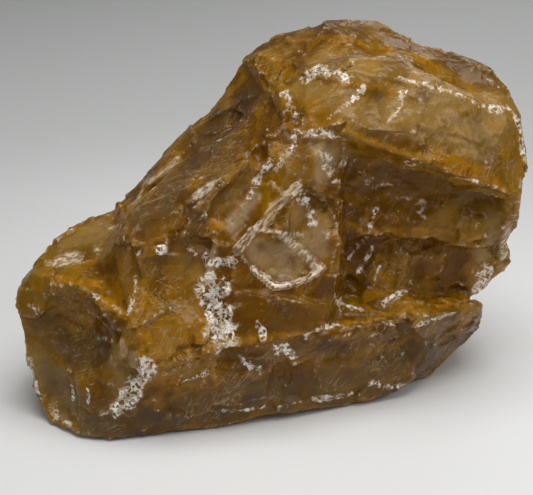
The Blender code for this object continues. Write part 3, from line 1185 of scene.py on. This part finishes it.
@dataclass(frozen=True)
class CalciteFinish:
    """Honey calcite: glassy and cloudy, with fibres, veils, rust and frost, and with painted shade,
    glints and highlights.

    Args:
        honey: The stone's usual colour.
        pale_honey: The milky places, the hairs and the painted highlight along the crests.
        amber: The darker places.
        gold: The warm yellow places.
        rust: The stains.
        mauve: The violet-brown places.
        deep: The darkest places, partly painted shade in the recesses and under the brow, and the
            painted shade in the nooks.
        glass: The clear places.
        cream: The pale rims, and the painted highlight along the lips' crest.
        frost_and_glint: The bruised places, and the painted glints and sparkle.
        absorbed: The colour that the inside lets through.
        absorption: How fast the inside takes the rest away, for each metre.
        transmission: The share of the light that goes into the stone.
        subsurface: The share that scatters close under the skin.
        subsurface_mm: How far red, green and blue scatter there.
        ior: How strongly light bends.
        specular: How strong the shine is.
        roughness: The least roughness of the glassy skin, and what the fine noise adds.
        bruise_roughness: The roughness of the chalky places.
        relief_mm: The height of the material's own relief.
        relief_strength: How much of that relief shows.
    """

    honey: Colour = (0.34, 0.155, 0.004, 1.0)
    pale_honey: Colour = (0.42, 0.27, 0.085, 1.0)
    amber: Colour = (0.15, 0.060, 0.001, 1.0)
    gold: Colour = (0.42, 0.215, 0.004, 1.0)
    rust: Colour = (0.46, 0.200, 0.003, 1.0)
    mauve: Colour = (0.102, 0.062, 0.033, 1.0)
    deep: Colour = (0.19, 0.080, 0.001, 1.0)
    glass: Colour = (0.46, 0.315, 0.160, 1.0)
    cream: Colour = (0.92, 0.76, 0.56, 1.0)
    frost_and_glint: Colour = (0.98, 0.94, 0.86, 1.0)
    absorbed: Colour = (0.95, 0.74, 0.02, 1.0)
    absorption: float = 110.0
    transmission: float = 0.25
    subsurface: float = 0.18
    subsurface_mm: Triple = (4.0, 2.0, 0.6)
    ior: float = 1.5
    specular: float = 0.08
    roughness: tuple[float, float] = (0.09, 0.16)
    bruise_roughness: float = 0.45
    relief_mm: float = 0.6
    relief_strength: float = 0.5

    def build(self) -> bpy.types.Material:
        """Makes the material, glassy stone with chalky stone where it is bruised and where glints and
        highlights are painted.

        Returns:
            The material.
        """
        graph = CalciteGraph("honey_calcite_finish", self)
        white = graph.white()
        bump = graph.node(
            "ShaderNodeBump",
            None,
            {
                "Height": graph.relief(),
                "Distance": self.relief_mm * MM,
                "Strength": self.relief_strength,
            },
        )
        least, more = self.roughness
        roughness = least + more * graph.fine.ease(0.4, 0.75) - 0.04 * graph.marks[Mark.CLEAR]
        stone = graph.node(
            "ShaderNodeBsdfPrincipled",
            {"subsurface_method": "RANDOM_WALK"},
            {
                "Base Color": graph.colour(),
                "Roughness": roughness,
                "Normal": bump,
                "IOR": self.ior,
                "Specular IOR Level": self.specular,
                "Transmission Weight": self.transmission,
                "Subsurface Weight": self.subsurface,
                "Subsurface Radius": tuple(length * MM for length in self.subsurface_mm),
                "Subsurface Scale": 1.0,
            },
        )
        pale = graph.mix(white, self.cream, self.frost_and_glint)
        chalk = graph.node(
            "ShaderNodeBsdfPrincipled",
            None,
            {"Base Color": pale, "Roughness": self.bruise_roughness, "Normal": bump},
        )
        # The chalky share covers the bruised places and also the painted glints, sparkle and
        # highlights.
        chalky = white.top(graph.rims()) * 0.9
        both = graph.node("ShaderNodeMixShader", None, {0: chalky, 1: stone, 2: chalk})
        inside = {"Color": self.absorbed, "Density": self.absorption}
        graph.close(both, graph.node("ShaderNodeVolumeAbsorption", None, inside))
        return graph.material


class CalciteGraph(Graph):
    """The patterns of the calcite's finish, and what they give together."""

    def __init__(self, name: str, look: CalciteFinish) -> None:
        """Adds the patterns that more than one part of the finish reads.

        Args:
            name: The material's name.
            look: The colours.
        """
        super().__init__(name)
        self.look = look
        place = self.place()
        self.fine = self.noise(2.4, place, 4.0, 0.5)
        self.grain = self.noise(0.7, place, 2.0)
        self.silk = self.noise(1.8, self.place((20.0, -36.0, 0.0), (1.0, 1.0, 0.16)), 3.0, 0.8)
        self.along = self.noise(0.9, self.place((0.0, -43.0, 0.0), (1.0, 1.0, 0.1)), 2.0, 0.3)
        self.cloud = self.named(CLOUD)
        self.crest = self.named(CREST)
        self.marks = {mark: self.named(mark.value) for mark in Mark}
        self.hair = self.hairs()
        self.bruise_and_glint = self.bruises_and_glints()

    def hairs(self) -> Sock:
        """Draws thin pale hairs in two directions, most of them in cloudy and clear places.

        Returns:
            How much hair there is.
        """
        total: Value = 0.0
        for turn in ((10.0, -32.0, 0.0), (-24.0, -64.0, 0.0)):
            streak = self.noise(2.2, self.place(turn, (1.0, 1.0, 0.06)), 1.0, 0.1)
            total = abs(streak - 0.5).ease(0.018, 0.003).top(total)
        total = total * self.cloud.ease(0.46, 0.62).top(self.marks[Mark.CLEAR])
        return total * (1 - 0.7 * self.marks[Mark.DARK])

    def bruises_and_glints(self) -> Sock:
        """The frosted places with ragged edges, and the painted glints that are laid among them."""
        frost_and_glint = self.marks[Mark.FROST_AND_GLINT]
        return frost_and_glint.ease(0.02, 0.16) * (frost_and_glint + 2.2 * self.fine - 1.35).ease(0.0, 0.6)

    def crushed_and_glint(self) -> Sock:
        """The crush in the middles of the bruised places and of the painted glints."""
        return self.bruise_and_glint * self.fine.ease(0.52, 0.64) * self.grain.ease(0.35, 0.55)

    def colour(self) -> Sock:
        """Lays the stone's colours over one another, with painted shade in the nooks and under the brow
        and a painted highlight along the crests.

        Returns:
            The colour.
        """
        look, marks = self.look, self.marks
        light = self.named(TONE) * 0.40 + self.cloud * 0.70 + self.silk * 0.35
        light = light + self.shards(5.0) * 0.35 - 0.42
        stained = (self.fine + 0.3 * self.crest).ease(0.36, 0.66)
        colour = self.mix(light.ease(0.32, 0.66), look.amber, look.honey)
        layers = (
            (light.ease(0.62, 1.05) * 0.7, look.pale_honey),
            (self.named(BROAD).ease(0.5, 0.72) * 0.45, look.gold),
            (marks[Mark.GOLD] * (0.4 + 0.6 * self.cloud), look.gold),
            (marks[Mark.PALE] * (0.25 + light * 0.8), look.pale_honey),
            (marks[Mark.MAUVE] * (0.35 + 0.75 * self.silk), look.mauve),
            # Partly the stone's dark inside, partly painted shade in the recesses and under the brow.
            (marks[Mark.DARK] * light.ease(1.15, 0.25), look.deep),
            (marks[Mark.CLEAR] * 0.7, look.glass),
            ((marks[Mark.STAIN] * (0.2 + 1.2 * stained)).low(1.0), look.rust),
            # Painted shade: the nooks are darkened as if shade fell into them.
            (self.named(NOOK_SHADE) * 0.6, look.deep),
            # Painted highlight: a pale line along the crests.
            (self.crest * self.silk.ease(0.35, 0.65) * 0.55, look.pale_honey),
            (self.hair * 0.3, look.pale_honey),
        )
        for amount, layer in layers:
            colour = self.mix(amount, colour, layer)
        return colour

    def white(self) -> Sock:
        """Breaks the bruised places and painted glints into flakes and a net of cracks, and adds
        speckles of painted sparkle and crests, partly chipped and partly painted highlight.

        Returns:
            How white the stone is.
        """
        flake = self.shards(0.85)
        filled = (flake + 0.1 * self.bruise_and_glint).ease(0.58, 0.68) * (0.25 + self.shards(2.4))
        net = self.shards(2.2, "Distance", "DISTANCE_TO_EDGE").ease(0.09, 0.02)
        white = (self.bruise_and_glint * filled.top(net * 0.55)).top(self.crushed_and_glint())
        # Painted sparkle: small white speckles in the cloudy places.
        specks_and_sparkle = self.grain.ease(0.7, 0.75) * self.cloud.ease(0.46, 0.62)
        # Partly chipped edges, partly a painted highlight along the crests.
        chipped_and_glint = self.crest * self.fine.ease(0.52, 0.62) * flake.ease(0.4, 0.6)
        return white.top(specks_and_sparkle * 0.45).top(self.hair * 0.1).top(chipped_and_glint * 0.6).low(1.0)

    def rims(self) -> Sock:
        """Streaks the rims, and gives the lips two edges and a painted highlight along their crest.

        Returns:
            How pale they are.
        """
        lip = self.marks[Mark.LIP]
        edges = lip.ease(0.08, 0.28) * lip.ease(0.65, 0.4)
        edges = edges * (0.1 + 0.5 * self.along.ease(0.4, 0.55))
        streaks = lip.ease(0.1, 0.4) * (0.08 + 0.45 * self.along.ease(0.44, 0.6))
        rims = self.marks[Mark.RIM].ease(0.15, 1.0) * (0.2 + 0.7 * self.along.ease(0.42, 0.6))
        # Painted highlight: the middle of a lip is painted full cream where the raised lip would catch
        # the light.
        return rims.top(edges).top(streaks).top(lip.ease(0.95, 1.15))

    def relief(self) -> Sock:
        """Adds up the relief that is too fine for the mesh.

        Returns:
            The height.
        """
        bowl = self.shards(3.4, "Distance")
        dent = self.shards(1.5, "Distance")
        broken = 0.9 * bowl * bowl + 0.4 * dent * dent
        return broken + 0.3 * self.fine + 0.15 * self.grain + 0.1 * self.hair + 0.3 * self.crushed_and_glint()


@dataclass(frozen=True)
class Lamp:
    """One soft square lamp that faces the lump.

    Args:
        name: Its name.
        place: Where it hangs, in metres.
        side: The length of its side, in metres.
        watts: Its power.
    """

    name: str
    place: Triple
    side: float
    watts: float

    def build(self) -> None:
        """Hangs the lamp and turns it to the lump."""
        data = bpy.data.lights.new(self.name, "AREA")
        data.shape = "SQUARE"
        data.size = self.side
        data.energy = self.watts
        lamp = bpy.data.objects.new(self.name, data)
        lamp.location = self.place
        towards = Vector((0.0, 0.0, 0.05)) - Vector(self.place)
        lamp.rotation_euler = towards.to_track_quat("-Z", "Y").to_euler()
        bpy.context.scene.collection.objects.link(lamp)


@dataclass
class Studio:
    """The pale sheet that the lump lies on, with a pool of light painted on it, and the light round it.

    Args:
        sheet_size: The sheet's side, in metres.
        pale_reach: How far from the middle the sheet is at its palest, in its painted pool of light.
        grey_reach: From how far on it is at its greyest, painted as if less light fell there.
        sheet_colour: Its colour round the stone, painted lighter as the pool of light.
        far_colour: Its colour further out, painted greyer as shade.
        sheet_roughness: Its roughness.
        sky_colour: The colour of the light from all round.
        sky_strength: The strength of that light.
        lamps: The lamps.
    """

    sheet_size: float = 3.0
    pale_reach: float = 0.10
    grey_reach: float = 0.25
    sheet_colour: Colour = (0.80, 0.80, 0.79, 1.0)
    far_colour: Colour = (0.65, 0.655, 0.64, 1.0)
    sheet_roughness: float = 0.75
    sky_colour: Colour = (0.92, 0.95, 0.97, 1.0)
    sky_strength: float = 0.14
    lamps: tuple[Lamp, ...] = (
        Lamp("roof", (0.05, -0.08, 0.55), 0.4, 2.45),
        Lamp("right", (0.55, -0.15, 0.4), 0.3, 0.6),
        Lamp("behind", (0.2, 0.6, 0.35), 0.3, 0.35),
        Lamp("spark_left", (-0.35, -0.45, 0.5), 0.05, 0.26),
        Lamp("spark_right", (0.4, -0.35, 0.45), 0.05, 0.26),
        Lamp("spark_low", (-0.1, -0.6, 0.25), 0.05, 0.15),
    )

    def build(self) -> None:
        """Adds the sheet, the lamps and the sky."""
        self.sheet()
        for lamp in self.lamps:
            lamp.build()
        world = bpy.data.worlds.new("soft_sky")
        world.use_nodes = True
        background = world.node_tree.nodes["Background"]
        background.inputs["Color"].default_value = self.sky_colour
        background.inputs["Strength"].default_value = self.sky_strength
        bpy.context.scene.world = world
        bpy.context.scene.view_settings.view_transform = "Standard"

    def sheet(self) -> None:
        """Lays a flat pale sheet under the lump and far behind it."""
        bpy.ops.object.select_all(action="DESELECT")
        bpy.ops.mesh.primitive_plane_add(size=self.sheet_size, location=(0.0, 0.0, 0.0))
        sheet = bpy.context.object
        sheet.name = "pale_sheet"
        sheet.data.materials.append(self.sheet_finish())

    def sheet_finish(self) -> bpy.types.Material:
        """Makes the sheet matte, with a painted pool of light: nearly white round the stone and greyer
        further out.

        Returns:
            The material.
        """
        graph = Graph("pale_sheet_finish")
        away = graph.node("ShaderNodeVectorMath", {"operation": "LENGTH"}, {0: graph.place()}, 1)
        # Painted light: the sheet is paler round the stone and greyer further out, as if the lamps'
        # light fell off.
        far = away.ease(self.pale_reach, self.grey_reach)
        colour = graph.mix(far, self.sheet_colour, self.far_colour)
        sockets = {"Base Color": colour, "Roughness": self.sheet_roughness}
        graph.close(graph.node("ShaderNodeBsdfPrincipled", None, sockets))
        return graph.material


def main() -> None:
    """Builds everything in order."""
    logging.basicConfig(level=logging.INFO, format="%(message)s")
    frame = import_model()
    view = PhotoView()
    view.build()
    stone = StoneSurface().build(frame["nodes"][STONE_NODE], view)
    stone.data.materials.append(CalciteFinish().build())
    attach(stone, "root")
    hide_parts(STONE_NODE)
    LOG.info("%s: %d faces", stone.name, len(stone.data.polygons))
    Studio().build()


if __name__ == "__main__":
    main()
